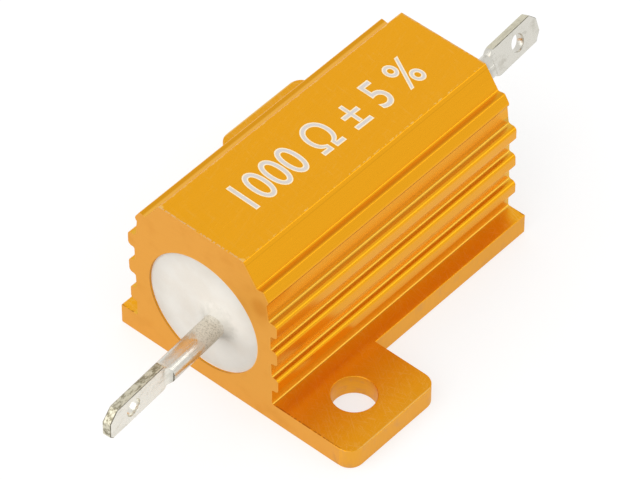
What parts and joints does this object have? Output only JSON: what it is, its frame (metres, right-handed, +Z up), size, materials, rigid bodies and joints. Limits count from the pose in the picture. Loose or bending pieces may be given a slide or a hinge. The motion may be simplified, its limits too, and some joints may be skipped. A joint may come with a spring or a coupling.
{
  "type": "wirewound power resistor",
  "caption": "Wirewound power resistor in a gold anodised finned aluminium housing with diagonal fixing lugs and pierced solder tags.",
  "frame": {"origin": "in the base plane, midway between the two fixing holes", "axes": "+Z up out of the base, +Y along the housing's extrusion from the front end to the rear end, +X towards the front lug"},
  "size_m": [0.0288, 0.053, 0.0152],
  "materials": {
    "gold_anodised_aluminium": "extruded, gold anodised, satin with fine die lines; ends sawn matte",
    "white_cement": "off-white silicone cement, matte",
    "ceramic": "unglazed steatite ceramic",
    "resistance_wire": "bare resistance alloy wire",
    "cap_steel": "plated steel cap",
    "tinned_lead": "tinned, slightly dented lead and tag"
  },
  "bodies": {
    "root": {"housing": "gold_anodised_aluminium", "cement_filling": "white_cement", "ceramic_core": "ceramic", "resistance_winding": "resistance_wire", "front_cap": "cap_steel", "rear_cap": "cap_steel", "front_terminal": "tinned_lead", "rear_terminal": "tinned_lead"}
  },
  "joints": []
}
